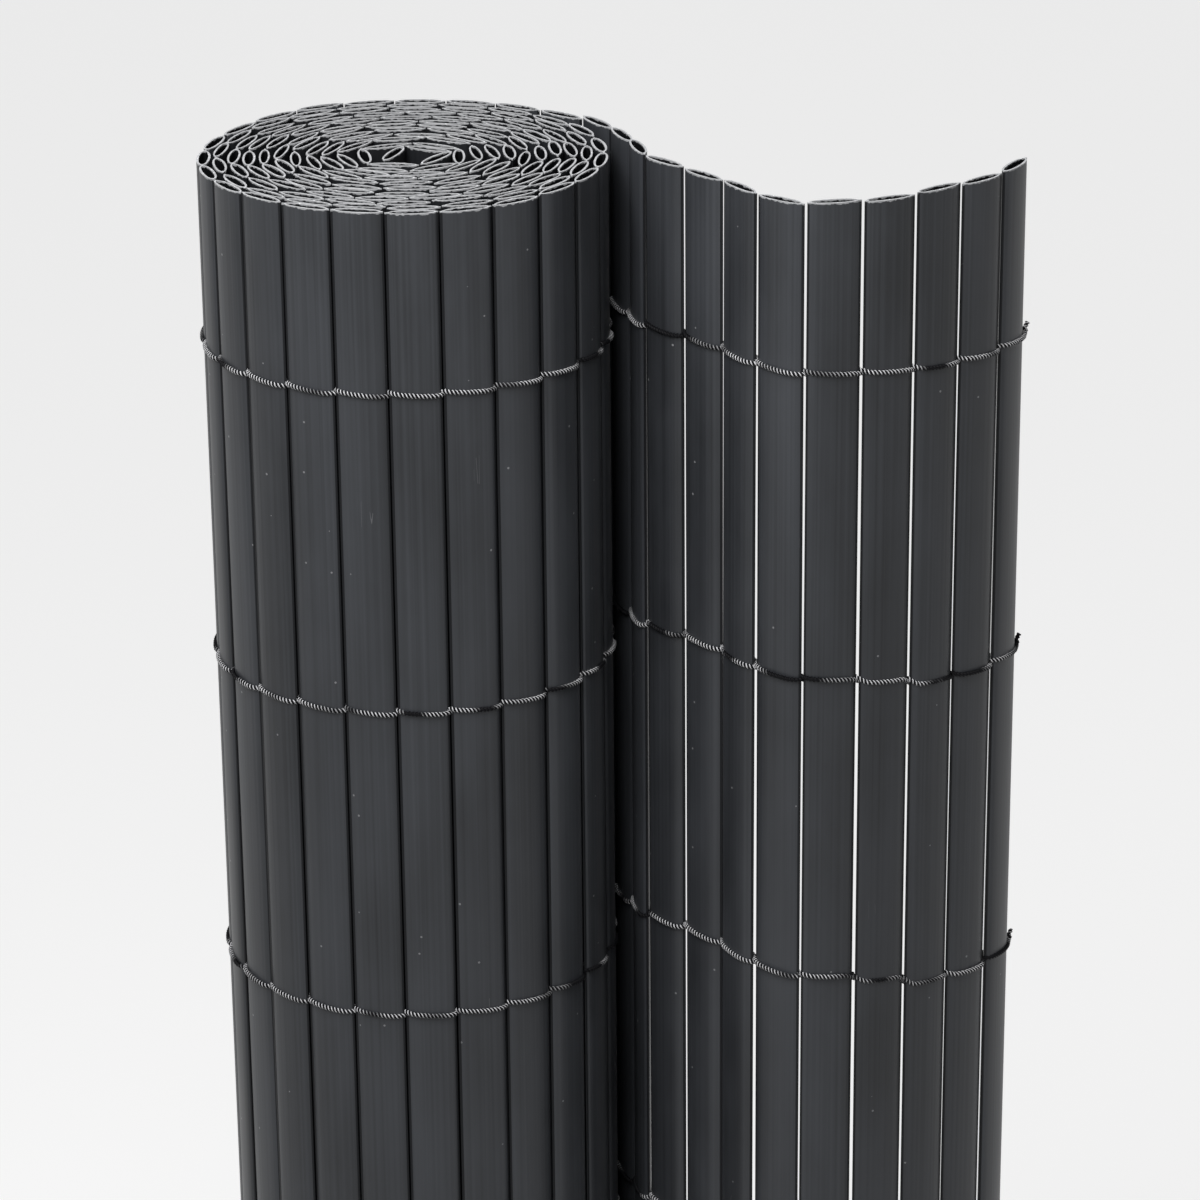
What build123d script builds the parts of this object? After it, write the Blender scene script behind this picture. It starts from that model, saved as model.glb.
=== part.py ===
from build123d import *
import os
from math import atan2, cos, degrees, dist, pi, radians, remainder, sin

# A screening mat of hollow plastic slats bound side by side with cord, standing on the slats' cut ends.
# Most of it is wound into a tight roll, and its free end stands open beside the roll.
# All lengths are in millimetres.

# Slat: a flattened tube with pinched edges
slat_length = 900
slat_width = 17
slat_thickness = 4.3
slat_flat = 6
slat_wall = 0.55

# Mat
mat_length = 3000
rolled_gap = 0.6
free_gap = 1.5
turn_clearance = 0.65
# The roll is slightly oval: the depth of its core, as a share of the slats' pitch, and how much further
# than that the winding reaches to each side
core_depth_share = 0.91
core_stretch = 4.5
# Direction of each free slat seen from above, in degrees from +X, from the roll to the mat's end
free_headings = (-38, -58, -70, -77, -47, -48, -56, -36, 8, 21, 35, 40, 60)
# Where the mat leaves the roll, in degrees round the roll's axis
leaving_angle = 51

# Binding cord: rows of two strands, which pass on both sides of each slat and cross in the gaps
tie_rows = 8
tie_margin = 58
strand_thickness = 1.2
strand_height = 1.2
strand_spacing = 0.2
strand_clearance = 0.15
knot_radius = 1.4
knot_height = 3.0
tail_length = 4.5
# Slats at the inner end of the outermost turn that the mat lies over, where no strand is on show
covered_slats = 4

# Sizes that follow
rolled_pitch = slat_width + rolled_gap
free_pitch = slat_width + free_gap
turn_pitch = slat_thickness + turn_clearance
core_depth = rolled_pitch * core_depth_share
rolled_slats = round((mat_length - len(free_headings) * free_pitch) / rolled_pitch)
tie_pitch = (slat_length - 2 * tie_margin) / (tie_rows - 1)
strand_offset = slat_thickness / 2 + strand_clearance + strand_thickness / 2
strand_step = (strand_height + strand_spacing) / 2
# How closely the angles of the roll are found, in radians
angle_tolerance = 1e-9


def winding_point(start_angle, wound):
    """Plan position on the winding, clockwise through an angle, in radians, from where its core starts."""
    reach = core_depth / 2 + turn_pitch * wound / (2 * pi)
    angle = start_angle - wound
    return (reach + core_stretch) * cos(angle), reach * sin(angle)


def next_gap(start_angle, wound):
    """Angle of the gap that follows the one at the given angle, one slat further out."""
    gap = winding_point(start_angle, wound)
    low, high = 0.0, pi
    while high - low > angle_tolerance:
        step = (low + high) / 2
        chord = dist(gap, winding_point(start_angle, wound + step))
        low, high = (step, high) if chord < rolled_pitch else (low, step)
    return wound + high


def gap_angles(start_angle):
    """Angle of each gap of the roll, from its core outwards."""
    angles = [0.0]
    for _ in range(rolled_slats):
        angles.append(next_gap(start_angle, angles[-1]))
    return angles


def free_gaps(start):
    """Plan position of each gap of the free end, up to the mat's last edge."""
    gaps = [start]
    for heading in free_headings:
        gaps.append(gaps[-1] + Vector(free_pitch, 0).rotate(Axis.Z, heading))
    return gaps


def slat_place(first, last):
    """Location of the slat between two gaps, turned along the mat."""
    along = last - first
    middle = (first + last) / 2
    return Location((middle.X, middle.Y, 0), (0, 0, degrees(atan2(along.Y, along.X))))


def sideways(along):
    """Unit direction square to a run of the mat, towards its outer face."""
    return Vector(-along.Y, along.X).normalized()


def corner_offset(before, after):
    """Sideways shift for each millimetre of offset at a corner between two runs."""
    first, second = sideways(before), sideways(after)
    return (first + second) / (1 + first.dot(second))


def strand_path(gaps, sides):
    """Corners of a strand that runs on the given side of each slat and crosses where the side changes."""
    runs = [last - first for first, last in zip(gaps, gaps[1:])]
    points = []
    for gap, before, after, side_before, side_after in zip(
        gaps, runs[:1] + runs, runs + runs[-1:], sides[:1] + sides, sides + sides[-1:]
    ):
        shift = corner_offset(before, after) * strand_offset
        points.append(gap + shift * side_before)
        if side_after != side_before:
            points.append(gap + shift * side_after)
    return points


def thick_line(points):
    """Outline of a line of straight runs, as thick as a strand."""
    runs = [last - first for first, last in zip(points, points[1:])]
    shifts = [corner_offset(before, after) for before, after in zip(runs[:1] + runs, runs + runs[-1:])]
    left = [point + shift * strand_thickness / 2 for point, shift in zip(points, shifts)]
    right = [point - shift * strand_thickness / 2 for point, shift in zip(points, shifts)]
    return left + right[::-1]


# Plan of the mat, with the roll's axis at the origin: the core is turned until the mat leaves where it should
core_angle, miss = 0.0, pi
while abs(miss) > angle_tolerance:
    wound_angles = gap_angles(core_angle)
    miss = remainder(wound_angles[-1] + radians(leaving_angle) - core_angle, 2 * pi)
    core_angle += miss / 2
roll_plan = [Vector(*winding_point(core_angle, angle)) for angle in wound_angles]
free_plan = free_gaps(roll_plan[-1])
turn_count = int(wound_angles[-1] / (2 * pi))
outer_slats = sum(angle > wound_angles[-1] - 2 * pi for angle in wound_angles[:-1])

# Cross-section of one slat
half_width, half_thickness, half_flat = slat_width / 2, slat_thickness / 2, slat_flat / 2
with BuildSketch() as slat_section:
    with BuildLine():
        Polyline(
            (half_width, 0),
            (half_flat, half_thickness),
            (-half_flat, half_thickness),
            (-half_width, 0),
            (-half_flat, -half_thickness),
            (half_flat, -half_thickness),
            close=True,
        )
    make_face()
    offset(amount=-slat_wall, kind=Kind.INTERSECTION, mode=Mode.SUBTRACT)

pieces = []

# Roll: one group of slats for each full turn, the outermost first, and any left at the core with the last
turn_places = [[] for _ in range(turn_count)]
for start_angle, first_gap, last_gap in zip(wound_angles, roll_plan, roll_plan[1:]):
    turn = int((wound_angles[-1] - start_angle) / (2 * pi))
    turn_places[min(turn, turn_count - 1)].append(slat_place(first_gap, last_gap))
for turn, places in enumerate(turn_places, start=1):
    with BuildSketch() as turn_sections:
        with Locations(*places):
            add(slat_section.sketch)
    with BuildPart() as roll_turn:
        extrude(turn_sections.sketch, amount=slat_length)
    roll_turn.part.label = f"roll_turn_{turn:02d}"
    pieces.append(roll_turn.part)

# Free end: each slat by itself
for number, (first_gap, last_gap) in enumerate(zip(free_plan, free_plan[1:]), start=1):
    with BuildSketch() as free_section:
        with Locations(slat_place(first_gap, last_gap)):
            add(slat_section.sketch)
    with BuildPart() as free_slat:
        extrude(free_section.sketch, amount=slat_length)
    free_slat.part.label = f"free_slat_{number:02d}"
    pieces.append(free_slat.part)

# Plan of the two strands: the first comes off the roll's outside and weaves through the free end,
# and the second weaves opposite it from the first free gap
shown_gaps = roll_plan[covered_slats - outer_slats - 1 : -1] + free_plan
shown_slats = len(shown_gaps) - len(free_plan)
weave = [1 if slat % 2 == 0 else -1 for slat in range(len(free_headings))]
first_strand = strand_path(shown_gaps, [1] * shown_slats + weave)
second_strand = strand_path(free_plan[1:], [-side for side in weave[1:]])
second_start = free_plan[1] - (second_strand[0] - free_plan[1])
mat_end = free_plan[-1]
end_direction = (free_plan[-1] - free_plan[-2]).normalized()
tail_end = mat_end + end_direction * tail_length
first_strand += [mat_end, tail_end]
second_strand = [second_start] + second_strand + [mat_end, tail_end]
knot_place = mat_end + end_direction * knot_radius

# Tie rows: the two strands, one above the other, and the knot that joins them at the mat's end
for row in range(tie_rows):
    row_height = tie_margin + row * tie_pitch
    with BuildPart() as tie_row:
        for strand, step in ((first_strand, strand_step), (second_strand, -strand_step)):
            with BuildSketch(Plane.XY.offset(row_height + step - strand_height / 2)):
                with BuildLine():
                    Polyline(*thick_line(strand), close=True)
                make_face()
            extrude(amount=strand_height)
        with BuildSketch(Plane.XY.offset(row_height - knot_height / 2)):
            with Locations((knot_place.X, knot_place.Y)):
                RegularPolygon(radius=knot_radius, side_count=6)
        extrude(amount=knot_height)
    tie_row.part.label = f"tie_row_{row + 1}"
    pieces.append(tie_row.part)

# Every piece is written with the centre of the whole mat's base at the origin
boxes = [piece.bounding_box() for piece in pieces]
base_centre = Vector(
    (min(box.min.X for box in boxes) + max(box.max.X for box in boxes)) / 2,
    (min(box.min.Y for box in boxes) + max(box.max.Y for box in boxes)) / 2,
)
os.makedirs("parts", exist_ok=True)
for piece in pieces:
    piece.locate(Location(-base_centre))
    export_step(piece, f"parts/{piece.label}.step")
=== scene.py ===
import math
from itertools import combinations

import bmesh
import bpy
from mathutils import Matrix, Vector


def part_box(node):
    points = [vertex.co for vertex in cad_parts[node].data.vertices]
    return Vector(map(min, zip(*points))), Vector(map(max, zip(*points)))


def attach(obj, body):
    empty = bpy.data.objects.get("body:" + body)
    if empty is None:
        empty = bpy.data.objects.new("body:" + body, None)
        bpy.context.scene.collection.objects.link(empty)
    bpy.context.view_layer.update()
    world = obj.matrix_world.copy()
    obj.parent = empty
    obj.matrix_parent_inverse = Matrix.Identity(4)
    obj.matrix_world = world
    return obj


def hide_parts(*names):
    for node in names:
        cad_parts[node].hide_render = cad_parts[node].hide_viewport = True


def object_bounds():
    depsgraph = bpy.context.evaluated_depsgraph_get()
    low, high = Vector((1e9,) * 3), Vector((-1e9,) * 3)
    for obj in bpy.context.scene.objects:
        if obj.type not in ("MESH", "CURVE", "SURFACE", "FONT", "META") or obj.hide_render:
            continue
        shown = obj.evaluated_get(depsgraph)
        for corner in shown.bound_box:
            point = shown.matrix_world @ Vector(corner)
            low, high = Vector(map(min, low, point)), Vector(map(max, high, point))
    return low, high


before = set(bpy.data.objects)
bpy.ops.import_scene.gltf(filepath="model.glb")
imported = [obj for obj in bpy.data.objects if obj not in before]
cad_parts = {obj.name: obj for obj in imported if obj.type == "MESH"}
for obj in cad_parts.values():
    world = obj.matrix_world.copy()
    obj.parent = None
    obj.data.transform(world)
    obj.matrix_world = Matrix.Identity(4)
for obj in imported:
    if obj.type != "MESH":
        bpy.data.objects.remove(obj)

bl_info = {
    "name": "Slat Screening Mat",
    "version": (1, 0, 0),
    "blender": (4, 5, 0),
    "location": "3D View > Sidebar > Screening Mat",
    "description": "Hollow plastic slats bound with twisted cord, as a standing roll with its free end open",
    "category": "Object",
}

BODY = "root"
ROLL_NODES = sorted(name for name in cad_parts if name.startswith("roll_turn_"))
FREE_NODES = sorted(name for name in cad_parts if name.startswith("free_slat_"))
TIE_NODES = sorted(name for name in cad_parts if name.startswith("tie_row_"))
OUTER_TURN = ROLL_NODES[0]
CAD_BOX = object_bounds()
SLAT_LENGTH = CAD_BOX[1].z - CAD_BOX[0].z
# Points nearer than this are one point of a solid
MERGE_DISTANCE = 1e-6

# Levels nearer than this are one level
LEVEL_TOLERANCE = 1e-5

# Slats: depth of the band below the cut end that the saw's burr moves, and the share of the length above it
RIM_DEPTH = 0.0012
RIM_SHARE = 0.9985
# Corners of the section where a whole slat shows, and where only its cut end does
SHOWN_CORNERS = 44
WOUND_CORNERS = 24
# Number of lengths that a shown slat is divided into, so that it can bow
SHOWN_BANDS = 10
# Points that each flat lip adds to the upper half of the outer outline: its tip and its shoulder
LIP_POINTS = 2
# Where the shoulder lies, in half thicknesses of the lip: its distance from the slat's edge, and its height
SHOULDER_SETBACK = 1 / 3
SHOULDER_HEIGHT = 0.8
# Painted shade, as shares of a bore's, of the lips and of the skins inside the roll: their colour is darkened
# as where little light reaches
LIP_PAINTED_SHADE = 0.85
WOUND_PAINTED_SHADE = 0.7
# Number of slats over which the free end rises to its full height
RISING_SLATS = 4
# Most that a slat is turned, in radians for an unevenness of 1, and the most that it is thickened
UNEVEN_TURN = 0.3
DEEPEST = 1.08

# Cords: where a strand touches a slat, as shares of the slat's half width
TOUCHING_SHARES = (-0.78, -0.45, 0.0, 0.45, 0.78)
# Lift of a strand's middle off the slat's face, in radii, and how much less it is at the slat's edge
STRAND_LIFT = 0.8
EDGE_PRESS = 0.2
# Number of free slats over which the rows leave the roll's level, where they settle again and over how many
OPENING_SLATS = 6
SETTLING_FROM = 8.8
SETTLING_SLATS = 3
# Share of the slats' length, from the top down, over which the rows climb in the bend
BEND_SHARE = 0.7
# The knot, in strand diameters: its distance past the slat, how far below the row its tail begins, and its
# coil's start, rise from point to point and radius
KNOT_PLACE = 0.6
KNOT_DROP = 0.3
KNOT_START = 0.1
KNOT_RISE = 0.08
KNOT_RADIUS = 0.45
# Points of the coil, and the angle from one to the next
KNOT_POINTS = 9
KNOT_ANGLE = math.pi / 3
# How far the knot and the tail lean outwards and upwards
LEAN_OUT = 0.85
LEAN_UP = 0.5
# Thickness of a strand at the waist between its two plies, as a share of its diameter
PLY_WAIST = 0.54
# Distance between the rings of a strand's mesh, and the corners of each
STRAND_STEP = 0.00045
STRAND_CORNERS = 10

# Stage: how far the floor reaches each way, and the share of the slats' height that the softbox is turned to
FLOOR_REACH = 12.0
LIT_SHARE = 0.8
SENSOR_WIDTH = 36.0
WHITE = (1.0, 1.0, 1.0, 1.0)


# Plan of the mat, read from the frame


def slat_tips(node):
    """The two pinched edges of each slat in a CAD node, as points of the plan."""
    mesh = bmesh.new()
    mesh.from_mesh(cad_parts[node].data)
    bmesh.ops.remove_doubles(mesh, verts=mesh.verts, dist=MERGE_DISTANCE)
    waiting = set(mesh.verts)
    found = []
    while waiting:
        solid, edge_of = set(), [waiting.pop()]
        while edge_of:
            corner = edge_of.pop()
            solid.add(corner)
            joined = {edge.other_vert(corner) for edge in corner.link_edges} & waiting
            waiting -= joined
            edge_of.extend(joined)
        ground = [corner.co.xy for corner in solid if corner.co.z < MERGE_DISTANCE]
        found.append(max(combinations(ground, 2), key=lambda pair: (pair[0] - pair[1]).length))
    mesh.free()
    return found


class Slat:
    """One slat's place: its CAD node, its middle and the mat's direction there, towards the free end."""

    def __init__(self, node, inner_tip, outer_tip):
        self.node = node
        self.inner_tip = inner_tip
        self.outer_tip = outer_tip
        self.middle = (inner_tip + outer_tip) / 2
        self.width = (outer_tip - inner_tip).length
        self.along = (outer_tip - inner_tip).normalized()
        self.across = Vector((-self.along.y, self.along.x))
        self.heading = math.atan2(self.along.y, self.along.x)


def mat_slats():
    """Every slat of the mat from the roll's core to the free end, found by walking back from the free end."""
    waiting = [(node, tips) for node in FREE_NODES + ROLL_NODES for tips in slat_tips(node)]
    last = next(entry for entry in waiting if entry[0] == FREE_NODES[-1])
    before = next(entry for entry in waiting if entry[0] == FREE_NODES[-2])
    end = max(last[1], key=lambda tip: (tip - before[1][0]).length)
    walked = []
    while waiting:
        node, tips = min(waiting, key=lambda entry: min((tip - end).length for tip in entry[1]))
        waiting.remove((node, tips))
        outer_tip, inner_tip = sorted(tips, key=lambda tip: (tip - end).length)
        walked.append(Slat(node, inner_tip.copy(), outer_tip.copy()))
        end = inner_tip
    return walked[::-1]


SLATS = mat_slats()
SHOWN_SLATS = [slat for slat in SLATS if slat.node == OUTER_TURN or slat.node in FREE_NODES]


# Sizes and colours


class SlatSettings(bpy.types.PropertyGroup):
    """Form and finish of the slats."""

    width: bpy.props.FloatProperty(
        name="Width", description="Width of a slat from lip to lip", default=0.0172, unit="LENGTH"
    )
    free_width: bpy.props.FloatProperty(
        name="Free width", description="Width of a slat of the free end", default=0.0176, unit="LENGTH"
    )
    free_rise: bpy.props.FloatProperty(
        name="Free rise",
        description="How far the free end's slats stand above the roll's",
        default=0.0027,
        unit="LENGTH",
    )
    thickness: bpy.props.FloatProperty(
        name="Thickness", description="Thickness of a slat at its middle", default=0.0043, unit="LENGTH"
    )
    wall: bpy.props.FloatProperty(
        name="Wall", description="Thickness of a slat's wall", default=0.00072, unit="LENGTH"
    )
    rounded_edge: bpy.props.FloatProperty(
        name="Rounded edge",
        description="Sharpness of the edge towards the core: 1 is an ellipse's",
        default=0.82,
    )
    pinched_edge: bpy.props.FloatProperty(
        name="Pinched edge", description="Sharpness of the edge towards the free end", default=1.05
    )
    rounded_lip: bpy.props.FloatProperty(
        name="Rounded lip",
        description="Width of the flat lip along the rounded edge",
        default=0.0006,
        unit="LENGTH",
    )
    pinched_lip: bpy.props.FloatProperty(
        name="Pinched lip",
        description="Width of the flat lip along the pinched edge",
        default=0.0008,
        unit="LENGTH",
    )
    lip_thickness: bpy.props.FloatProperty(
        name="Lip thickness", description="Thickness of the lips", default=0.0007, unit="LENGTH"
    )
    trim: bpy.props.FloatProperty(
        name="Uneven cut",
        description="Most that a slat is cut short of the others",
        default=0.0008,
        unit="LENGTH",
    )
    bow: bpy.props.FloatProperty(
        name="Bow", description="Most that a slat bows between its ends", default=0.0005, unit="LENGTH"
    )
    unevenness: bpy.props.FloatProperty(
        name="Unevenness",
        description="Share by which the slats inside the roll are squeezed and turned",
        default=0.18,
    )
    frayed: bpy.props.FloatProperty(
        name="Frayed rim",
        description="How far below the cut the plastic is scraped pale",
        default=0.0005,
        unit="LENGTH",
    )
    burr: bpy.props.FloatProperty(
        name="Burr", description="Roughness of the sawn rims", default=0.00016, unit="LENGTH"
    )
    colour: bpy.props.FloatVectorProperty(
        name="Colour",
        description="Colour of the plastic",
        subtype="COLOR",
        size=3,
        default=(0.0365, 0.039, 0.044),
    )
    sawn_colour: bpy.props.FloatVectorProperty(
        name="Sawn colour",
        description="Colour of the cut ends",
        subtype="COLOR",
        size=3,
        default=(0.50, 0.505, 0.52),
    )


class CordSettings(bpy.types.PropertyGroup):
    """Form and finish of the binding cords."""

    diameter: bpy.props.FloatProperty(
        name="Diameter", description="Thickness of a strand", default=0.0018, unit="LENGTH"
    )
    twist_pitch: bpy.props.FloatProperty(
        name="Twist pitch",
        description="Length of one turn of the strand's two plies",
        default=0.0025,
        unit="LENGTH",
    )
    crossing: bpy.props.FloatProperty(
        name="Crossing height",
        description="How far above and below its row a strand crosses",
        default=0.0006,
        unit="LENGTH",
    )
    roll_sag: bpy.props.FloatProperty(
        name="Roll sag",
        description="How far the rows lie below their level on the roll",
        default=0.004,
        unit="LENGTH",
    )
    bend_rise: bpy.props.FloatProperty(
        name="Bend rise",
        description="Most that a row climbs in the open bend",
        default=0.0112,
        unit="LENGTH",
    )
    tail: bpy.props.FloatProperty(
        name="Tail", description="Length of the tail past the knot", default=0.0042, unit="LENGTH"
    )
    colour: bpy.props.FloatVectorProperty(
        name="Colour",
        description="Colour of the cord",
        subtype="COLOR",
        size=3,
        default=(0.004, 0.004, 0.005),
    )
    # Painted glints: the colour of the pale dashes on the plies' crests that stand in for reflected light
    painted_glint_colour: bpy.props.FloatVectorProperty(
        name="Fleck colour",
        description="Colour of the light filaments in the cord",
        subtype="COLOR",
        size=3,
        default=(0.85, 0.85, 0.87),
    )


class StageSettings(bpy.types.PropertyGroup):
    """Camera, floor and light."""

    camera_place: bpy.props.FloatVectorProperty(
        name="Camera place",
        description="Where the camera stands",
        subtype="TRANSLATION",
        size=3,
        default=(-0.00546, -1.49223, 1.35353),
    )
    camera_tilt: bpy.props.FloatProperty(
        name="Camera tilt", description="How far the camera looks down", subtype="ANGLE", default=0.38975
    )
    camera_roll: bpy.props.FloatProperty(
        name="Camera roll", description="Turn about the line of sight", subtype="ANGLE", default=-0.00956
    )
    camera_lens: bpy.props.FloatProperty(
        name="Lens", description="Focal length in millimetres on a 36 mm sensor", default=141.32
    )
    floor_colour: bpy.props.FloatVectorProperty(
        name="Floor colour",
        description="Colour of the floor and backdrop",
        subtype="COLOR",
        size=3,
        default=(0.875, 0.875, 0.875),
    )
    sky_strength: bpy.props.FloatProperty(
        name="Sky light", description="Strength of the even light from all round", default=0.4
    )
    sky_slope: bpy.props.FloatProperty(
        name="Sky slope", description="How much more of the even light comes from the left", default=0.25
    )
    backdrop: bpy.props.FloatProperty(
        name="Backdrop", description="Brightness of the backdrop behind the floor", default=0.83
    )
    key_strength: bpy.props.FloatProperty(
        name="Key light",
        description="Strength of the broad light from the front left, in watts",
        default=8.2,
    )
    key_size: bpy.props.FloatProperty(
        name="Key size", description="Side of the square key light", default=0.5, unit="LENGTH"
    )
    key_place: bpy.props.FloatVectorProperty(
        name="Key place",
        description="Where the key light hangs",
        subtype="TRANSLATION",
        size=3,
        default=(-0.22, -0.54, 1.5),
    )
    floor_glow: bpy.props.FloatProperty(
        name="Floor glow",
        description="Brightness that the floor shows the camera beyond its light",
        default=0.465,
    )
    floor_bounce: bpy.props.FloatProperty(
        name="Floor bounce",
        description="Share of the floor's colour that lights the mat from below",
        default=0.15,
    )


# Building trees of nodes


def add_node(tree, kind, inputs=None, **settings):
    """A node of a tree, with its settings and its inputs, each a value or another node's output."""
    made = tree.nodes.new(kind)
    for name, value in settings.items():
        setattr(made, name, value)
    for socket, value in (inputs or {}).items():
        if isinstance(value, bpy.types.NodeSocket):
            tree.links.new(value, made.inputs[socket])
        else:
            made.inputs[socket].default_value = value
    return made


def math_node(tree, operation, *values):
    """The result of one sum in a tree."""
    return add_node(tree, "ShaderNodeMath", dict(enumerate(values)), operation=operation).outputs[0]


def vector_of(tree, x=0.0, y=0.0, z=0.0):
    """A vector of three values or outputs."""
    return add_node(tree, "ShaderNodeCombineXYZ", {"X": x, "Y": y, "Z": z}).outputs[0]


def parts_of(tree, vector):
    """The three outputs of a vector, named X, Y and Z."""
    return add_node(tree, "ShaderNodeSeparateXYZ", {0: vector}).outputs


def scaled(tree, vector, factor):
    """A vector times a number."""
    return add_node(tree, "ShaderNodeVectorMath", {0: vector, "Scale": factor}, operation="SCALE").outputs[0]


def noise(tree, place, scale, detail, output="Fac"):
    """Soft noise over a place."""
    inputs = {"Vector": place, "Scale": scale, "Detail": detail}
    return add_node(tree, "ShaderNodeTexNoise", inputs).outputs[output]


def new_tree(name, kind, inputs, outputs):
    """An empty node group with its named sockets, and the nodes at its two ends."""
    tree = bpy.data.node_groups.new(name, kind)
    for in_out, sockets in (("INPUT", inputs), ("OUTPUT", outputs)):
        for socket, socket_type, value in sockets:
            made = tree.interface.new_socket(name=socket, in_out=in_out, socket_type=socket_type)
            if value is not None:
                made.default_value = value
    return tree, tree.nodes.new("NodeGroupInput"), tree.nodes.new("NodeGroupOutput")


def named_attribute(tree, name, data_type="FLOAT"):
    """A named attribute of the geometry, as an output."""
    return add_node(tree, "GeometryNodeInputNamedAttribute", {"Name": name}, data_type=data_type).outputs[0]


def with_attribute(tree, geometry, name, value):
    """A geometry that also holds a number for each of its points."""
    return add_node(
        tree,
        "GeometryNodeStoreNamedAttribute",
        {"Geometry": geometry, "Name": name, "Value": value},
        data_type="FLOAT",
        domain="POINT",
    ).outputs[0]


def new_object(name, data):
    """An object of the scene, at the origin."""
    made = bpy.data.objects.new(name, data)
    bpy.context.scene.collection.objects.link(made)
    return made


def finished_mesh(carrier, tree, values, name):
    """Plain mesh of what a tree makes of a carrier object, which is then removed."""
    modifier = carrier.modifiers.new("Form", "NODES")
    modifier.node_group = tree
    for item in tree.interface.items_tree:
        if item.item_type == "SOCKET" and item.in_out == "INPUT" and item.name in values:
            modifier[item.identifier] = values[item.name]
    evaluated = carrier.evaluated_get(bpy.context.evaluated_depsgraph_get())
    mesh = bpy.data.meshes.new_from_object(evaluated)
    if not mesh.polygons:
        raise RuntimeError(f"{name} came out empty")
    mesh.name = name
    made = new_object(name, mesh)
    bpy.data.objects.remove(carrier)
    return made


# Materials


def new_material(name):
    """An empty material, and its Principled shader."""
    material = bpy.data.materials.new(name)
    material.use_nodes = True
    return material, material.node_tree, material.node_tree.nodes["Principled BSDF"]


def object_place(tree):
    """The place on the object, as an output."""
    return tree.nodes.new("ShaderNodeTexCoord").outputs["Object"]


def mesh_attribute(tree, name):
    """A number that the mesh holds for each of its points, as an output."""
    return add_node(tree, "ShaderNodeAttribute", attribute_name=name).outputs["Fac"]


def mapped(tree, place, scale, rotation=(0.0, 0.0, 0.0)):
    """A place stretched and turned. A small scale draws a pattern out."""
    inputs = {"Vector": place, "Scale": scale, "Rotation": rotation}
    return add_node(tree, "ShaderNodeMapping", inputs).outputs[0]


def ramp(tree, value, low, high):
    """A value as a share of the way from low to high."""
    return add_node(tree, "ShaderNodeMapRange", {"Value": value, 1: low, 2: high}).outputs[0]


def mixed(tree, factor, low, high):
    """A value or output between two, by a factor from 0 to 1."""
    return add_node(tree, "ShaderNodeMix", {0: factor, 2: low, 3: high}, data_type="FLOAT").outputs[0]


def mixed_colour(tree, factor, low, high):
    """A colour between two, by a factor from 0 to 1."""
    return add_node(tree, "ShaderNodeMix", {0: factor, 6: low, 7: high}, data_type="RGBA").outputs[2]


def opaque(colour, share=1.0):
    """A stored colour as a shader's four numbers, made lighter or darker."""
    return (colour[0] * share, colour[1] * share, colour[2] * share, 1.0)


def finish_shader(tree, shader, colour, roughness, height, strength, distance):
    """Joins a colour, a roughness and a relief to a material's shader."""
    bump = add_node(tree, "ShaderNodeBump", {"Height": height, "Strength": strength, "Distance": distance})
    tree.links.new(colour, shader.inputs["Base Color"])
    tree.links.new(roughness, shader.inputs["Roughness"])
    tree.links.new(bump.outputs["Normal"], shader.inputs["Normal"])


def wear_group():
    """Streaks along the slat, cloudy marks, pale specks and scratches, as one group for all the plastic."""
    if "Plastic wear" in bpy.data.node_groups:
        return bpy.data.node_groups["Plastic wear"]
    tree, start, end = new_tree(
        "Plastic wear",
        "ShaderNodeTree",
        [
            ("Streak scale", "NodeSocketFloat", 900.0),
            ("Cloud scale", "NodeSocketFloat", 38.0),
            ("Speck scale", "NodeSocketFloat", 150.0),
            ("Speck size", "NodeSocketFloat", 0.06),
        ],
        [
            ("Streak", "NodeSocketFloat", None),
            ("Cloud", "NodeSocketFloat", None),
            ("Speck", "NodeSocketFloat", None),
            ("Scratch", "NodeSocketFloat", None),
        ],
    )
    asked = start.outputs
    place = object_place(tree)

    drawn_out = mapped(tree, place, (1.0, 1.0, 0.0035))
    tree.links.new(noise(tree, drawn_out, asked["Streak scale"], 3.0), end.inputs["Streak"])
    smeared = mapped(tree, place, (1.0, 1.0, 0.35))
    tree.links.new(noise(tree, smeared, asked["Cloud scale"], 5.0), end.inputs["Cloud"])

    cells = add_node(
        tree, "ShaderNodeTexVoronoi", {"Vector": place, "Scale": asked["Speck scale"], "Randomness": 1.0}
    )
    near = math_node(tree, "LESS_THAN", cells.outputs["Distance"], asked["Speck size"])
    chosen = add_node(tree, "ShaderNodeSeparateColor", {"Color": cells.outputs["Color"]})
    rare = math_node(tree, "GREATER_THAN", chosen.outputs[0], 0.7)
    tree.links.new(math_node(tree, "MULTIPLY", near, rare), end.inputs["Speck"])

    leaning = mapped(tree, place, (1.0, 1.0, 0.05), rotation=(0.35, 0.25, 0.0))
    from_line = math_node(tree, "SUBTRACT", noise(tree, leaning, 420.0, 0.0), 0.5)
    line = math_node(tree, "LESS_THAN", math_node(tree, "ABSOLUTE", from_line), 0.006)
    seldom = math_node(tree, "GREATER_THAN", noise(tree, place, 55.0, 1.0), 0.76)
    tree.links.new(math_node(tree, "MULTIPLY", line, seldom), end.inputs["Scratch"])
    return tree


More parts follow.
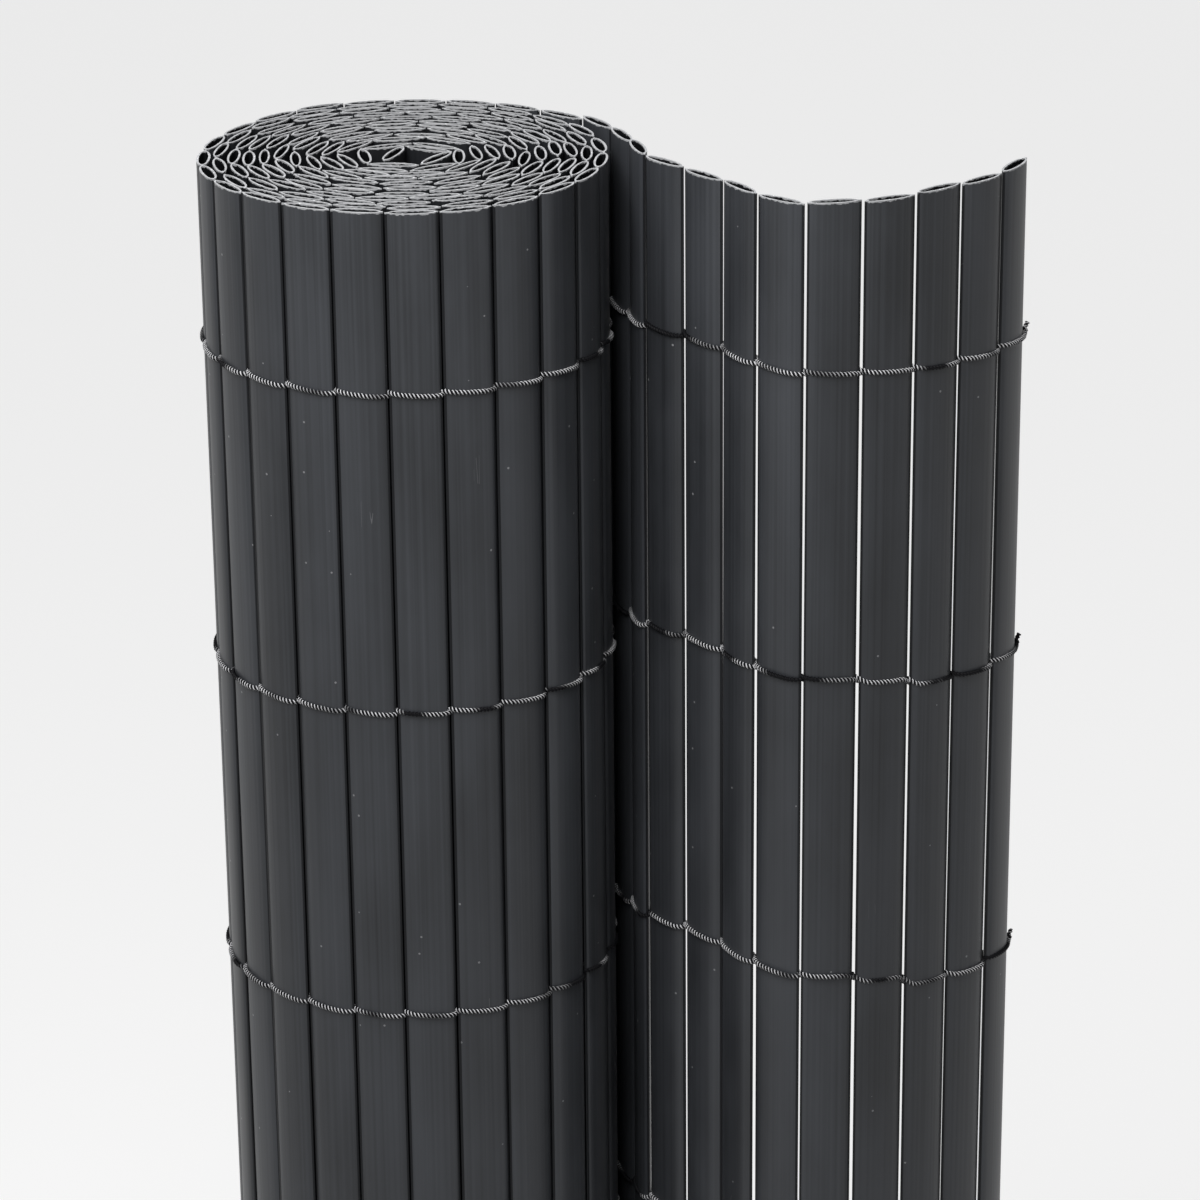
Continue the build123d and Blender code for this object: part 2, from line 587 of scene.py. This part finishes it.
def slat_plastic(settings):
    """Extruded dark plastic: streaks, cloudy marks, dust, pale rims and a tone of its own for each slat, with
    painted shade and less sheen in its bores, on its lips and on its skins inside the roll.
    """
    material, tree, shader = new_material("Slat plastic")
    wear = add_node(tree, "ShaderNodeGroup", node_tree=wear_group()).outputs
    cloudy = mixed(tree, wear["Cloud"], -0.8, 0.8)
    of_slat = mixed(tree, mesh_attribute(tree, "slat_tone"), -0.12, 0.12)
    streaky = mixed(tree, wear["Streak"], -0.5, 0.5)
    lightness = math_node(tree, "ADD", math_node(tree, "ADD", cloudy, of_slat), streaky)
    share = math_node(tree, "ADD", lightness, 0.5)
    plain = mixed_colour(tree, share, opaque(settings.colour, 0.5), opaque(settings.colour, 1.5))

    marks = math_node(tree, "MAXIMUM", wear["Speck"], math_node(tree, "MULTIPLY", wear["Scratch"], 0.4))
    mark_share = math_node(tree, "MULTIPLY", marks, 0.7)
    marked = mixed_colour(tree, mark_share, plain, opaque(settings.sawn_colour, 0.6))

    # Painted shade: the colour darkens towards a fifth of the plastic's, and the sheen drops, as far as the
    # mesh marks shade
    painted_shade = mesh_attribute(tree, "painted_shade")
    with_painted_shade = mixed_colour(tree, painted_shade, marked, opaque(settings.colour, 0.2))

    torn = noise(tree, object_place(tree), 700.0, 2.0)
    reach = math_node(tree, "MULTIPLY", mixed(tree, torn, -0.6, 2.6), settings.frayed)
    past_reach = math_node(tree, "SUBTRACT", reach, mesh_attribute(tree, "from_end"))
    frayed = ramp(tree, past_reach, 0.0, 0.0002)
    finished = mixed_colour(tree, frayed, with_painted_shade, opaque(settings.sawn_colour, 0.7))

    roughness = mixed(tree, wear["Cloud"], 0.32, 0.54)
    relief = math_node(tree, "ADD", wear["Streak"], math_node(tree, "MULTIPLY", marks, 0.6))
    finish_shader(tree, shader, finished, roughness, relief, strength=0.35, distance=0.00005)
    tree.links.new(mixed(tree, painted_shade, 0.35, 0.1), shader.inputs["Specular IOR Level"])
    return material


def sawn_plastic(settings):
    """The cut ends: paler, dull and torn by the saw."""
    material, tree, shader = new_material("Sawn plastic")
    wear = add_node(
        tree,
        "ShaderNodeGroup",
        {"Streak scale": 2600.0, "Cloud scale": 420.0, "Speck scale": 900.0, "Speck size": 0.25},
        node_tree=wear_group(),
    ).outputs
    dull, bright, brightest = (opaque(settings.sawn_colour, share) for share in (0.55, 1.45, 1.9))
    plain = mixed_colour(tree, wear["Cloud"], dull, bright)
    marked = mixed_colour(tree, wear["Speck"], plain, brightest)
    roughness = mixed(tree, wear["Streak"], 0.5, 0.75)
    finish_shader(tree, shader, marked, roughness, wear["Streak"], strength=0.5, distance=0.0001)
    return material


def cord_filament(settings):
    """Dull black twisted filament, with painted glints: pale dashes in patches on the plies' crests, which
    stand in for the light's reflection.
    """
    material, tree, shader = new_material("Cord filament")
    place = object_place(tree)
    thread = noise(tree, place, 1500.0, 2.0)
    # Painted glints: pale dashes where a ply's crest faces out, in patches, in place of the light's
    # reflection on the glossy cord
    crest = ramp(tree, mesh_attribute(tree, "ply_crest"), 0.7, 0.8)
    bright = ramp(tree, noise(tree, place, 55.0, 1.0), 0.4, 0.52)
    on_crest = math_node(tree, "MULTIPLY", crest, bright)
    shown = math_node(tree, "MULTIPLY", on_crest, mixed(tree, thread, 0.3, 1.2))
    plain = mixed_colour(tree, thread, opaque(settings.colour, 0.5), opaque(settings.colour, 1.8))
    with_painted_glints = mixed_colour(tree, shown, plain, opaque(settings.painted_glint_colour))
    roughness = mixed(tree, thread, 0.45, 0.65)
    finish_shader(tree, shader, with_painted_glints, roughness, thread, strength=0.3, distance=0.00008)
    shader.inputs["Specular IOR Level"].default_value = 0.12
    return material


# Slats


def eased(share):
    """A share of 0 to 1 that starts and ends gently."""
    share = min(1.0, max(0.0, share))
    return share * share * (3 - 2 * share)


def edge_sharpness(settings, share):
    """How sharply the slat's outline closes, from the rounded edge at -1 to the pinched edge at 1."""
    return settings.rounded_edge + (settings.pinched_edge - settings.rounded_edge) * (1 + share) / 2


def rise(settings, share):
    """Height of the tube's outline, in half thicknesses, at a share of its half width from its middle."""
    return math.sqrt(max(0.0, 1 - share**2)) ** edge_sharpness(settings, share)


def outline(settings, corners, bore=False):
    """Corners of the slat's outer outline, lips included, or of its bore, from the pinched edge round."""
    half_width, half_lip = settings.width / 2, settings.lip_thickness / 2
    left = settings.rounded_lip - half_width
    right = half_width - settings.pinched_lip
    height = settings.thickness / 2
    if bore:
        left, right, height = left + settings.wall, right - settings.wall, height - settings.wall
    steps = corners // 2 - (0 if bore else 2 * LIP_POINTS)
    shares = [math.cos(math.pi * step / steps) for step in range(steps + 1)]
    middle, reach = (left + right) / 2, (right - left) / 2
    upper = [(middle + reach * share, height * rise(settings, share)) for share in shares]
    if not bore:
        shoulder = half_width - half_lip * SHOULDER_SETBACK
        shoulder_height = half_lip * SHOULDER_HEIGHT
        upper = [(x, max(y, half_lip)) for x, y in upper]
        upper = [(half_width, 0.0), (shoulder, shoulder_height)] + upper
        upper += [(-shoulder, shoulder_height), (-half_width, 0.0)]
    return upper + [(x, -y) for x, y in upper[-2:0:-1]]


def slat_form(settings, name, corners, levels, skin_painted_shade):
    """One slat as a closed hollow form on the ground, with sharp rims, and with painted shade marked on its
    lips and bore, and on its whole skin where it lies inside the roll.
    """
    mesh = bmesh.new()
    # Painted shade: a mark for each corner, full in the bore, a share on the lips, and a share over the skin
    # of slats inside the roll
    painted_shade = mesh.verts.layers.float.new("painted_shade")
    rings = {
        bore: [
            [mesh.verts.new((x, y, level)) for x, y in outline(settings, corners, bore)]
            for level in levels
        ]
        for bore in (False, True)
    }
    left_lip = settings.rounded_lip - settings.width / 2 + MERGE_DISTANCE
    right_lip = settings.width / 2 - settings.pinched_lip - MERGE_DISTANCE
    for bore, walls in rings.items():
        for ring in walls:
            for corner in ring:
                on_lip = not left_lip < corner.co.x < right_lip
                corner[painted_shade] = 1.0 if bore else max(skin_painted_shade, LIP_PAINTED_SHADE * on_lip)
    for corner in range(corners):
        after = (corner + 1) % corners
        for bore, walls in rings.items():
            for lower, upper in zip(walls, walls[1:]):
                face = [lower[corner], lower[after], upper[after], upper[corner]]
                mesh.faces.new(face[::-1] if bore else face).smooth = True
        for end, flip in ((-1, 1), (0, -1)):
            skin, hollow = rings[False][end], rings[True][end]
            mesh.faces.new([skin[corner], skin[after], hollow[after], hollow[corner]][::flip])
            for ring in (skin, hollow):
                mesh.edges.get((ring[corner], ring[after])).smooth = False
    form = bpy.data.meshes.new(name)
    mesh.to_mesh(form)
    mesh.free()
    return new_object(name, form)


def slat_group():
    """Stands a slat on each point of the mat's plan, and gives each a cut, a bow and a tone of its own."""
    tree, start, end = new_tree(
        "Standing slats",
        "GeometryNodeTree",
        [
            ("Geometry", "NodeSocketGeometry", None),
            ("Slat", "NodeSocketObject", None),
            ("Widening", "NodeSocketFloat", 1.0),
            ("Longer", "NodeSocketFloat", 0.0),
            ("Length", "NodeSocketFloat", SLAT_LENGTH),
            ("Rim depth", "NodeSocketFloat", RIM_DEPTH),
            ("Uneven cut", "NodeSocketFloat", 0.0),
            ("Bow", "NodeSocketFloat", 0.0),
            ("Burr", "NodeSocketFloat", 0.0),
            ("Unevenness", "NodeSocketFloat", 0.0),
            ("Seed", "NodeSocketInt", 0),
            ("Skin", "NodeSocketMaterial", None),
            ("Cut ends", "NodeSocketMaterial", None),
        ],
        [("Geometry", "NodeSocketGeometry", None)],
    )
    asked = start.outputs

    # A draw of each kind for every slat
    number = named_attribute(tree, "slat_number", "INT")
    geometry = asked["Geometry"]
    ranges = (
        ("slat_tone", 0.0, 1.0),
        ("slat_cut", 0.0, asked["Uneven cut"]),
        ("slat_bow", math_node(tree, "MULTIPLY", asked["Bow"], -1.0), asked["Bow"]),
        (
            "slat_turn",
            math_node(tree, "MULTIPLY", asked["Unevenness"], -UNEVEN_TURN),
            math_node(tree, "MULTIPLY", asked["Unevenness"], UNEVEN_TURN),
        ),
        ("slat_depth", math_node(tree, "SUBTRACT", 1.0, asked["Unevenness"]), DEEPEST),
    )
    for salt, (attribute, low, high) in enumerate(ranges):
        seed = math_node(tree, "ADD", asked["Seed"], salt)
        inputs = {2: low, 3: high, "ID": number, "Seed": seed}
        drawn = add_node(tree, "FunctionNodeRandomValue", inputs, data_type="FLOAT").outputs[1]
        geometry = with_attribute(tree, geometry, attribute, drawn)

    # The slats in their places
    form = add_node(tree, "GeometryNodeObjectInfo", {"Object": asked["Slat"]}).outputs["Geometry"]
    heading = named_attribute(tree, "heading")
    turn = math_node(tree, "ADD", heading, named_attribute(tree, "slat_turn"))
    rotation = add_node(tree, "FunctionNodeEulerToRotation", {0: vector_of(tree, z=turn)}).outputs[0]
    size = vector_of(tree, asked["Widening"], named_attribute(tree, "slat_depth"), 1.0)
    slats = add_node(
        tree,
        "GeometryNodeInstanceOnPoints",
        {"Points": geometry, "Instance": form, "Rotation": rotation, "Scale": size},
    ).outputs[0]
    slats = add_node(tree, "GeometryNodeRealizeInstances", {0: slats}).outputs[0]

    # Bow, height and cut
    place = tree.nodes.new("GeometryNodeInputPosition").outputs[0]
    level = parts_of(tree, place)["Z"]
    slats = with_attribute(tree, slats, "from_end", math_node(tree, "SUBTRACT", asked["Length"], level))
    rim_level = math_node(tree, "SUBTRACT", asked["Length"], asked["Rim depth"])
    at_top = math_node(tree, "GREATER_THAN", level, math_node(tree, "SUBTRACT", rim_level, LEVEL_TOLERANCE))
    share = math_node(tree, "DIVIDE", level, asked["Length"])
    swell = math_node(tree, "SINE", math_node(tree, "MULTIPLY", share, math.pi))
    bowed = math_node(tree, "MULTIPLY", named_attribute(tree, "slat_bow"), swell)
    against = math_node(tree, "MULTIPLY", bowed, -1.0)
    lengthened = math_node(tree, "MULTIPLY", share, asked["Longer"])
    cut_off = math_node(tree, "MULTIPLY", at_top, named_attribute(tree, "slat_cut"))
    moved = vector_of(
        tree,
        math_node(tree, "MULTIPLY", math_node(tree, "SINE", heading), against),
        math_node(tree, "MULTIPLY", math_node(tree, "COSINE", heading), bowed),
        math_node(tree, "SUBTRACT", lengthened, cut_off),
    )
    slats = add_node(tree, "GeometryNodeSetPosition", {"Geometry": slats, "Offset": moved}).outputs[0]

    # The saw's burr
    torn = noise(tree, place, 1100.0, 1.0, output="Color")
    shaken = add_node(
        tree, "ShaderNodeVectorMath", {0: torn, 1: (0.5, 0.5, 1.0)}, operation="SUBTRACT"
    ).outputs[0]
    burr = scaled(tree, shaken, asked["Burr"])
    evened = math_node(tree, "SUBTRACT", level, asked["Longer"])
    rim_start = math_node(tree, "MULTIPLY", asked["Length"], RIM_SHARE)
    top_edge = math_node(tree, "GREATER_THAN", evened, rim_start)
    slats = add_node(
        tree, "GeometryNodeSetPosition", {"Geometry": slats, "Selection": top_edge, "Offset": burr}
    ).outputs[0]

    # Materials: the cut ends are the faces that lie level
    slats = add_node(
        tree, "GeometryNodeSetMaterial", {"Geometry": slats, "Material": asked["Skin"]}
    ).outputs[0]
    facing = parts_of(tree, tree.nodes.new("GeometryNodeInputNormal").outputs[0])["Z"]
    level_face = math_node(tree, "GREATER_THAN", math_node(tree, "ABSOLUTE", facing), 0.5)
    slats = add_node(
        tree,
        "GeometryNodeSetMaterial",
        {"Geometry": slats, "Selection": level_face, "Material": asked["Cut ends"]},
    ).outputs[0]
    tree.links.new(slats, end.inputs["Geometry"])
    return tree


def plan_points(slats, name):
    """One point for each slat, with its number along the mat and its heading."""
    mesh = bpy.data.meshes.new(name)
    mesh.from_pydata([(slat.middle.x, slat.middle.y, 0.0) for slat in slats], [], [])
    headings = mesh.attributes.new("heading", "FLOAT", "POINT")
    headings.data.foreach_set("value", [slat.heading for slat in slats])
    numbers = mesh.attributes.new("slat_number", "INT", "POINT")
    numbers.data.foreach_set("value", [SLATS.index(slat) for slat in slats])
    return new_object(name, mesh)


def height_gain(settings, node):
    """How much taller than the roll's slats those of a node are."""
    if node not in FREE_NODES:
        return 0.0
    return settings.free_rise * eased((FREE_NODES.index(node) + 1) / RISING_SLATS)


def stand_slats(context, nodes, corners, levels, bow, skin_painted_shade=0.0):
    """Makes the slats of each named CAD node, all in one form."""
    settings = context.scene.mat_slats
    form = slat_form(settings, "slat_form", corners, levels, skin_painted_shade)
    tree = slat_group()
    skin = bpy.data.materials.get("Slat plastic") or slat_plastic(settings)
    cut_ends = bpy.data.materials.get("Sawn plastic") or sawn_plastic(settings)
    for node in nodes:
        carrier = plan_points([slat for slat in SLATS if slat.node == node], f"plan_{node}")
        values = {
            "Slat": form,
            "Widening": settings.free_width / settings.width if node in FREE_NODES else 1.0,
            "Longer": height_gain(settings, node),
            "Uneven cut": settings.trim,
            "Bow": bow,
            "Burr": settings.burr,
            "Unevenness": settings.unevenness if skin_painted_shade else 0.0,
            "Skin": skin,
            "Cut ends": cut_ends,
        }
        piece = finished_mesh(carrier, tree, values, f"slats_{node}")
        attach(piece, BODY)
        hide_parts(node)
    bpy.data.objects.remove(form)


class MAT_OT_shown_slats(bpy.types.Operator):
    """Make the slats of the roll's outermost turn and of the free end, finely"""

    bl_idname = "mat.shown_slats"
    bl_label = "Shown Slats"

    def execute(self, context):
        levels = [0.0, RIM_DEPTH]
        levels += [SLAT_LENGTH * band / SHOWN_BANDS for band in range(1, SHOWN_BANDS)]
        levels += [SLAT_LENGTH - RIM_DEPTH, SLAT_LENGTH]
        stand_slats(context, [OUTER_TURN] + FREE_NODES, SHOWN_CORNERS, levels, context.scene.mat_slats.bow)
        return {"FINISHED"}


class MAT_OT_wound_slats(bpy.types.Operator):
    """Make the slats of the roll's inner turns, which show only their cut ends"""

    bl_idname = "mat.wound_slats"
    bl_label = "Wound Slats"

    def execute(self, context):
        stand_slats(context, ROLL_NODES[1:], WOUND_CORNERS, [0.0, SLAT_LENGTH], 0.0, skin_painted_shade=WOUND_PAINTED_SHADE)
        return {"FINISHED"}


# Binding cords


def row_drift(cords, slat, height):
    """How far a row of cord lies from its level at a slat: lower on the roll, and higher in the open bend."""
    free_number = SLATS.index(slat) - (len(SLATS) - len(FREE_NODES)) + 1
    opened = eased(free_number / OPENING_SLATS)
    settled = eased((free_number - SETTLING_FROM) / SETTLING_SLATS)
    depth = (SLAT_LENGTH - height) / (SLAT_LENGTH * BEND_SHARE)
    climb = cords.bend_rise * math.sin(math.pi * min(1.0, depth)) * opened * (1 - settled)
    return climb - cords.roll_sag * (1 - opened)


def strand_route(slats, cords, settings, first_side, height):
    """Corners of one strand, which passes from face to face of the mat in every gap."""
    radius = cords.diameter / 2
    points = []
    side = first_side
    for slat, after in zip(slats, slats[1:] + [None]):
        level = height + row_drift(cords, slat, height)
        for share in TOUCHING_SHARES:
            off_face = radius * (STRAND_LIFT - EDGE_PRESS * abs(share))
            lift = settings.thickness / 2 * rise(settings, share) + off_face
            place = slat.middle + slat.along * (share * slat.width / 2) + slat.across * (side * lift)
            points.append((place.x, place.y, level + side * share * cords.crossing))
        if after:
            gap = (slat.outer_tip + after.inner_tip) / 2
            next_level = height + row_drift(cords, after, height)
            points.append((gap.x, gap.y, (level + next_level) / 2 + side * cords.crossing))
        side = -side
    return points


def knot_route(slat, cords, height, side):
    """The end of one strand, past the last slat: the knot's coil, or the tail that runs through it."""
    tip = slat.outer_tip + slat.along * cords.diameter * KNOT_PLACE
    out = Vector((slat.along.x, slat.along.y, 0.0))
    up = Vector((0.0, 0.0, 1.0))
    lean = (out * LEAN_OUT + up * LEAN_UP).normalized()
    start = Vector((tip.x, tip.y, height))
    if side > 0:
        foot = start - up * cords.diameter * KNOT_DROP
        return [foot, start + lean * cords.tail / 2, start + lean * cords.tail]
    across = lean.cross(up).normalized()
    third = lean.cross(across)
    coil = []
    for step in range(KNOT_POINTS):
        angle = step * KNOT_ANGLE
        centre = start + lean * cords.diameter * (KNOT_START + KNOT_RISE * step)
        round_about = across * math.cos(angle) + third * math.sin(angle)
        coil.append(centre + round_about * cords.diameter * KNOT_RADIUS)
    return coil


def strand_group():
    """Follows a route with a strand of two plies twisted together."""
    tree, start, end = new_tree(
        "Twisted strand",
        "GeometryNodeTree",
        [
            ("Geometry", "NodeSocketGeometry", None),
            ("Radius", "NodeSocketFloat", 0.0009),
            ("Twist pitch", "NodeSocketFloat", 0.0025),
            ("Step", "NodeSocketFloat", STRAND_STEP),
            ("Corners", "NodeSocketInt", STRAND_CORNERS),
            ("Material", "NodeSocketMaterial", None),
        ],
        [("Geometry", "NodeSocketGeometry", None)],
    )
    asked = start.outputs

    # The route, turned about itself once for each twist
    route = add_node(
        tree,
        "GeometryNodeResampleCurve",
        {"Curve": asked["Geometry"], "Length": asked["Step"]},
        mode="LENGTH",
    ).outputs[0]
    route = add_node(tree, "GeometryNodeSetCurveNormal", {"Curve": route}, mode="Z_UP").outputs[0]
    along = tree.nodes.new("GeometryNodeSplineParameter").outputs["Length"]
    turns = math_node(tree, "DIVIDE", along, asked["Twist pitch"])
    tilt = math_node(tree, "MULTIPLY", turns, 2 * math.pi)
    route = add_node(tree, "GeometryNodeSetCurveTilt", {"Curve": route, "Tilt": tilt}).outputs[0]

    # The section: a circle drawn in between the two plies
    ring = add_node(
        tree,
        "GeometryNodeCurvePrimitiveCircle",
        {"Resolution": asked["Corners"], "Radius": asked["Radius"]},
        mode="RADIUS",
    ).outputs[0]
    place = tree.nodes.new("GeometryNodeInputPosition").outputs[0]
    reach = math_node(tree, "DIVIDE", parts_of(tree, place)["X"], asked["Radius"])
    lobe = math_node(tree, "MULTIPLY", reach, reach)
    waist = math_node(tree, "ADD", math_node(tree, "MULTIPLY", lobe, 1 - PLY_WAIST), PLY_WAIST)
    shaped = scaled(tree, place, waist)
    ring = add_node(tree, "GeometryNodeSetPosition", {"Geometry": ring, "Position": shaped}).outputs[0]
    ring = with_attribute(tree, ring, "ply_crest", math_node(tree, "ABSOLUTE", reach))

    strand = add_node(
        tree, "GeometryNodeCurveToMesh", {"Curve": route, "Profile Curve": ring, "Fill Caps": True}
    ).outputs[0]
    strand = add_node(
        tree, "GeometryNodeSetShadeSmooth", {"Geometry": strand, "Shade Smooth": True}
    ).outputs[0]
    strand = add_node(tree, "GeometryNodeRealizeInstances", {0: strand}).outputs[0]
    strand = add_node(
        tree, "GeometryNodeSetMaterial", {"Geometry": strand, "Material": asked["Material"]}
    ).outputs[0]
    tree.links.new(strand, end.inputs["Geometry"])
    return tree


def route_curve(name, routes):
    """A smooth curve along each list of corners."""
    curve = bpy.data.curves.new(name, "CURVE")
    curve.dimensions = "3D"
    curve.resolution_u = 4
    for route in routes:
        spline = curve.splines.new("NURBS")
        spline.points.add(len(route) - 1)
        for point, corner in zip(spline.points, route):
            point.co = (*corner, 1.0)
        spline.order_u = 3
        spline.use_endpoint_u = True
    return new_object(name, curve)


class MAT_OT_binding_cords(bpy.types.Operator):
    """Make the rows of twisted cord that bind the slats"""

    bl_idname = "mat.binding_cords"
    bl_label = "Binding Cords"

    def execute(self, context):
        settings, cords = context.scene.mat_slats, context.scene.mat_cords
        tree = strand_group()
        filament = cord_filament(cords)
        for node in TIE_NODES:
            low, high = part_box(node)
            height = (low.z + high.z) / 2
            routes = []
            for first_side in (1, -1):
                last_side = first_side * (-1) ** (len(SHOWN_SLATS) - 1)
                route = strand_route(SHOWN_SLATS, cords, settings, first_side, height)
                routes.append(route + knot_route(SHOWN_SLATS[-1], cords, height, last_side))
            values = {
                "Radius": cords.diameter / 2,
                "Twist pitch": cords.twist_pitch,
                "Material": filament,
            }
            piece = finished_mesh(route_curve(f"route_{node}", routes), tree, values, f"cord_{node}")
            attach(piece, BODY)
            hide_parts(node)
        return {"FINISHED"}


# Stage


def floor_material(settings):
    """Plain pale floor, which lights the mat from below less than it shows."""
    material, tree, shader = new_material("Pale floor")
    rays = tree.nodes.new("ShaderNodeLightPath").outputs
    shown = opaque(settings.floor_colour)
    bounced = opaque(settings.floor_colour, settings.floor_bounce)
    tree.links.new(mixed_colour(tree, rays["Is Diffuse Ray"], shown, bounced), shader.inputs["Base Color"])
    shader.inputs["Roughness"].default_value = 0.9
    shader.inputs["Specular IOR Level"].default_value = 0.0
    seen = math_node(tree, "MAXIMUM", rays["Is Camera Ray"], rays["Is Glossy Ray"])
    seen = math_node(tree, "MAXIMUM", seen, rays["Is Transmission Ray"])
    shader.inputs["Emission Color"].default_value = WHITE
    tree.links.new(math_node(tree, "MULTIPLY", seen, settings.floor_glow), shader.inputs["Emission Strength"])
    return material


def make_floor(settings):
    """A wide level floor under the mat."""
    mesh = bpy.data.meshes.new("floor")
    signs = ((-1, -1), (1, -1), (1, 1), (-1, 1))
    corners = [(FLOOR_REACH * x, FLOOR_REACH * y, 0.0) for x, y in signs]
    mesh.from_pydata(corners, [], [(0, 1, 2, 3)])
    mesh.materials.append(floor_material(settings))
    floor = new_object("floor", mesh)


def make_softbox(settings):
    """A square light above the camera's left, turned towards the upper part of the mat."""
    light = bpy.data.lights.new("softbox", "AREA")
    light.energy = settings.key_strength
    light.size = settings.key_size
    lamp = new_object("softbox", light)
    lamp.location = settings.key_place
    lamp.rotation_mode = "QUATERNION"
    from_mat = lamp.location - Vector((0.0, 0.0, SLAT_LENGTH * LIT_SHARE))
    lamp.rotation_quaternion = from_mat.to_track_quat("Z", "Y")
    lamp.visible_camera = False


def make_sky(settings):
    """Even light from all round, which the camera sees as the pale backdrop."""
    world = bpy.data.worlds.new("Studio")
    bpy.context.scene.world = world
    world.use_nodes = True
    tree = world.node_tree
    shader = tree.nodes["Background"]
    rightwards = parts_of(tree, tree.nodes.new("ShaderNodeTexCoord").outputs["Generated"])["X"]
    slope = math_node(tree, "SUBTRACT", 1.0, math_node(tree, "MULTIPLY", rightwards, settings.sky_slope))
    light = math_node(tree, "MULTIPLY", slope, settings.sky_strength)
    rays = tree.nodes.new("ShaderNodeLightPath").outputs
    seen = math_node(tree, "MAXIMUM", rays["Is Camera Ray"], rays["Is Transmission Ray"])
    shader.inputs["Color"].default_value = WHITE
    tree.links.new(mixed(tree, seen, light, settings.backdrop), shader.inputs["Strength"])


def make_camera(settings):
    """The camera, looking level ahead along +Y, tilted down and turned a little about its line of sight."""
    data = bpy.data.cameras.new("camera")
    data.sensor_width = SENSOR_WIDTH
    data.lens = settings.camera_lens
    data.clip_start, data.clip_end = 0.05, 100.0
    camera = new_object("camera", data)
    camera.matrix_world = (
        Matrix.Translation(settings.camera_place)
        @ Matrix.Rotation(math.pi / 2 - settings.camera_tilt, 4, "X")
        @ Matrix.Rotation(settings.camera_roll, 4, "Z")
    )
    bpy.context.scene.camera = camera


class MAT_OT_stage(bpy.types.Operator):
    """Make the floor, the light and the camera"""

    bl_idname = "mat.stage"
    bl_label = "Stage"

    def execute(self, context):
        settings = context.scene.mat_stage
        make_floor(settings)
        make_sky(settings)
        make_softbox(settings)
        make_camera(settings)
        context.scene.view_settings.view_transform = "Standard"
        return {"FINISHED"}


class MAT_PT_panel(bpy.types.Panel):
    """Sizes, colours and steps of the screening mat."""

    bl_idname = "MAT_PT_panel"
    bl_label = "Screening Mat"
    bl_space_type = "VIEW_3D"
    bl_region_type = "UI"
    bl_category = "Screening Mat"

    def draw(self, context):
        for settings in (context.scene.mat_slats, context.scene.mat_cords, context.scene.mat_stage):
            box = self.layout.box()
            for name in settings.__annotations__:
                box.prop(settings, name)
        for operator in OPERATORS:
            self.layout.operator(operator.bl_idname)


OPERATORS = (MAT_OT_shown_slats, MAT_OT_wound_slats, MAT_OT_binding_cords, MAT_OT_stage)
SETTINGS = {"mat_slats": SlatSettings, "mat_cords": CordSettings, "mat_stage": StageSettings}


def register():
    for group in SETTINGS.values():
        bpy.utils.register_class(group)
    for name, group in SETTINGS.items():
        setattr(bpy.types.Scene, name, bpy.props.PointerProperty(type=group))
    for operator in OPERATORS:
        bpy.utils.register_class(operator)
    bpy.utils.register_class(MAT_PT_panel)


def unregister():
    bpy.utils.unregister_class(MAT_PT_panel)
    for operator in reversed(OPERATORS):
        bpy.utils.unregister_class(operator)
    for name, group in SETTINGS.items():
        delattr(bpy.types.Scene, name)
        bpy.utils.unregister_class(group)


def main():
    register()
    bpy.ops.mat.shown_slats()
    bpy.ops.mat.wound_slats()
    bpy.ops.mat.binding_cords()
    bpy.ops.mat.stage()


if __name__ == "__main__":
    main()
